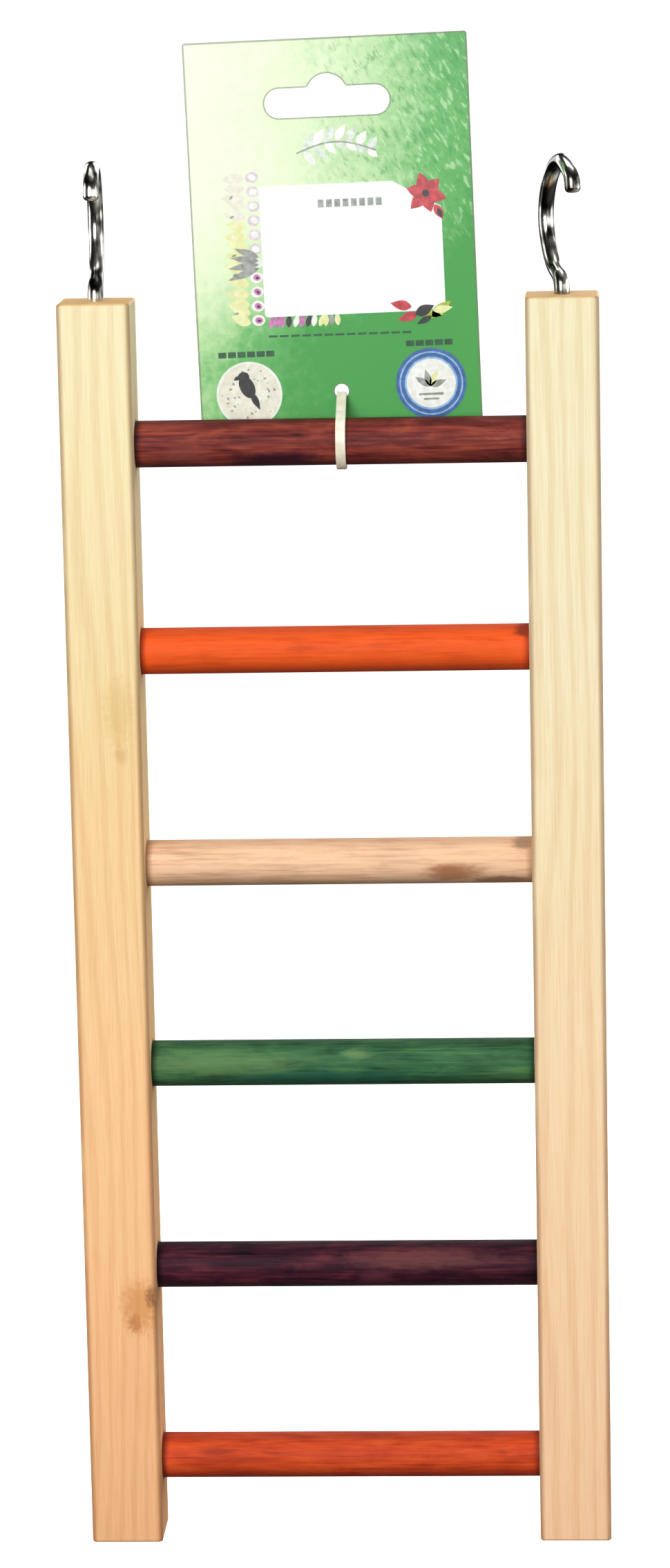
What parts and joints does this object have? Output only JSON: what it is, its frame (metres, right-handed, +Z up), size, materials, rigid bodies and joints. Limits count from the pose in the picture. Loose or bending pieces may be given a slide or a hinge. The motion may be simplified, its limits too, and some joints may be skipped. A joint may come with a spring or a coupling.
{
  "type": "bird cage ladder",
  "caption": "Small wooden hook-on cage ladder: two square stiles, dyed dowel rungs, a screw hook in each stile's top, and a hang tag cable-tied to the top rung.",
  "frame": {"origin": "midway between the two hook shanks, at the height where a bar touches the inside top of the hooks", "axes": "+Z up along the stiles, +X to the right seen from the front, +Y to the back; the front with the printed side of the tag faces -Y"},
  "size_m": [0.1396, 0.0243, 0.4007],
  "materials": {
    "stile_pine": "bare, sanded softwood",
    "dye_maroon": "water-dyed, matt and mottled",
    "dye_orange": "water-dyed, matt",
    "natural_dowel": "bare dowel",
    "dye_green": "water-dyed, matt and mottled",
    "dye_purple": "water-dyed, matt and mottled",
    "dye_red": "water-dyed, matt",
    "brad_steel": "bright drawn wire",
    "plated_wire": "bright zinc or nickel plate",
    "printed_card": "glossy printed front, plain grey-white back",
    "label_paper": "coated paper",
    "tie_nylon": "natural nylon"
  },
  "bodies": {
    "frame": {"left_stile": "stile_pine", "right_stile": "stile_pine", "rung_1": "dye_maroon", "rung_2": "dye_orange", "rung_3": "natural_dowel", "rung_4": "dye_green", "rung_5": "dye_purple", "rung_6": "dye_red", "left_brads": "brad_steel", "right_brads": "brad_steel"},
    "left_hook": {"left_hook": "plated_wire"},
    "right_hook": {"right_hook": "plated_wire"},
    "tie": {"cable_tie": "tie_nylon"},
    "tag": {"hang_tag": "printed_card", "tag_label": "label_paper"}
  },
  "joints": [
    {"name": "left_hook_turn", "type": "hinge", "parent": "frame", "child": "left_hook", "pos_m": [-0.06032, 0, -0.03195], "axis": [0, 0, 1], "range_deg": [-180, 180]},
    {"name": "right_hook_turn", "type": "hinge", "parent": "frame", "child": "right_hook", "pos_m": [0.06032, 0, -0.03195], "axis": [0, 0, 1], "range_deg": [-180, 180]},
    {"name": "tie_swing", "type": "hinge", "parent": "frame", "child": "tie", "pos_m": [0.0027, 0, -0.06935], "axis": [1, 0, 0], "range_deg": [-160, 175]},
    {"name": "tag_tilt", "type": "hinge", "parent": "tie", "child": "tag", "pos_m": [0.0027, 0.00665, -0.05695], "axis": [0, 1, 0], "range_deg": [-10, 10]}
  ]
}
